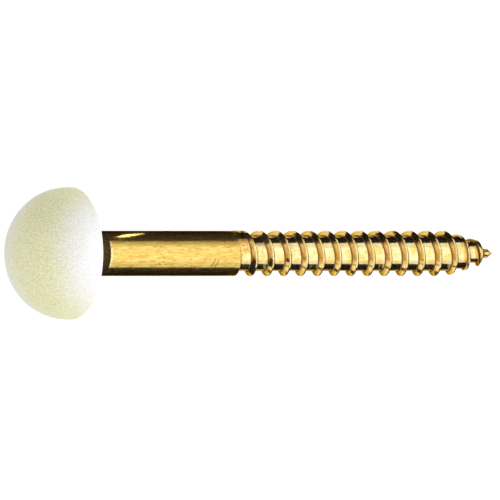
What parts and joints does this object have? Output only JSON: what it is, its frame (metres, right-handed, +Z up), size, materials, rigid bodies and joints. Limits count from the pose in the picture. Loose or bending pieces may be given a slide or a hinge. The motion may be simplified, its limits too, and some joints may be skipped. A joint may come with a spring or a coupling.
{
  "type": "toilet floor screw",
  "caption": "Brass wood screw with a domed plastic cap for a head, which holds a toilet's foot to a wooden floor. It lies on its side.",
  "frame": {"origin": "centre of the box's base, on the floor that the screw lies on", "axes": "+X along the screw as seen from above, from its cap towards its point; +Y across it; +Z up from the floor"},
  "size_m": [0.0722, 0.0176, 0.0176],
  "materials": {
    "cap_plastic": "satin moulded bone plastic",
    "brass": "bright rolled brass, with fine lengthwise drawing marks"
  },
  "bodies": {
    "root": {"cap": "cap_plastic", "screw": "brass"}
  },
  "joints": []
}
